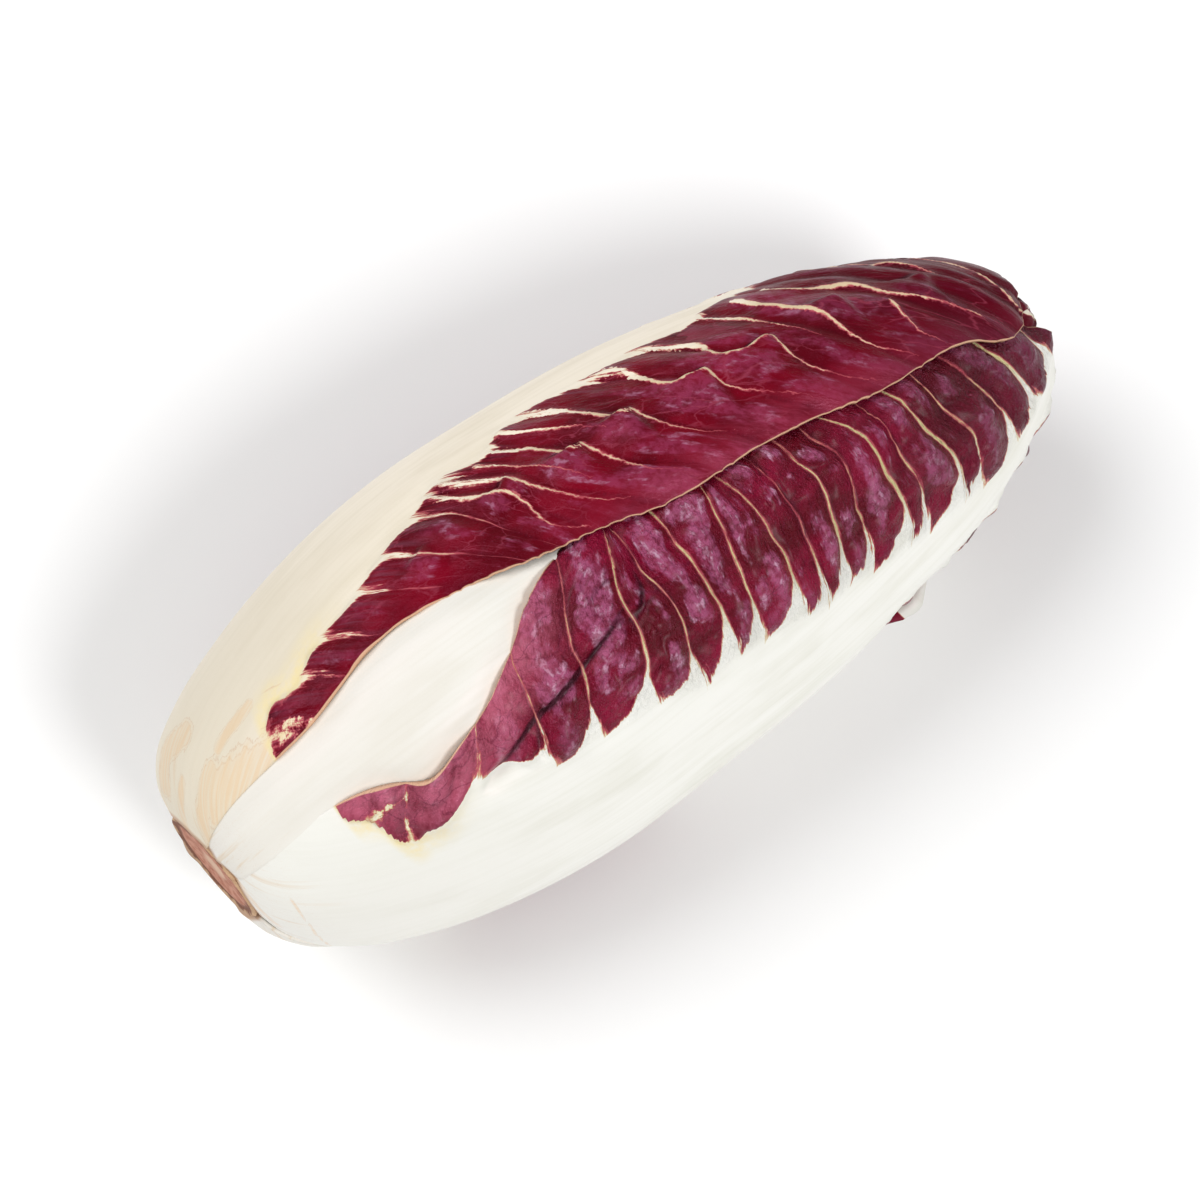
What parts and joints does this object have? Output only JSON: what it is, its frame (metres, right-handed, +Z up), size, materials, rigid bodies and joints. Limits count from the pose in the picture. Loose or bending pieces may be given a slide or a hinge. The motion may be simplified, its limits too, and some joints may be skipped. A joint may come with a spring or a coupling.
{
  "type": "treviso radicchio head",
  "caption": "Long closed head of red Treviso radicchio lying on its side, with broad white midribs, cream-veined burgundy leaves and a cut stem end.",
  "frame": {"origin": "bottom centre of the head's bounding box, on the surface it lies on", "axes": "+X along the head from the cut stem toward the leaf tips, +Z up"},
  "size_m": [0.1884, 0.0818, 0.0793],
  "materials": {
    "leaf": "fresh leaf: burgundy blade with a soft waxy sheen, broad satin white midrib, cream side veins",
    "heart": "young leaf: pale cream ribs with burgundy edges, satin",
    "cut_stem": "cut stem face: matt, brown-pink, darker at the rim, dried"
  },
  "bodies": {
    "root": {"stem": "cut_stem", "leaf_1": "leaf", "leaf_2": "leaf", "leaf_3": "leaf", "leaf_4": "leaf", "leaf_5": "leaf", "leaf_6": "leaf", "leaf_7": "leaf", "leaf_8": "leaf", "heart": "heart"}
  },
  "joints": []
}
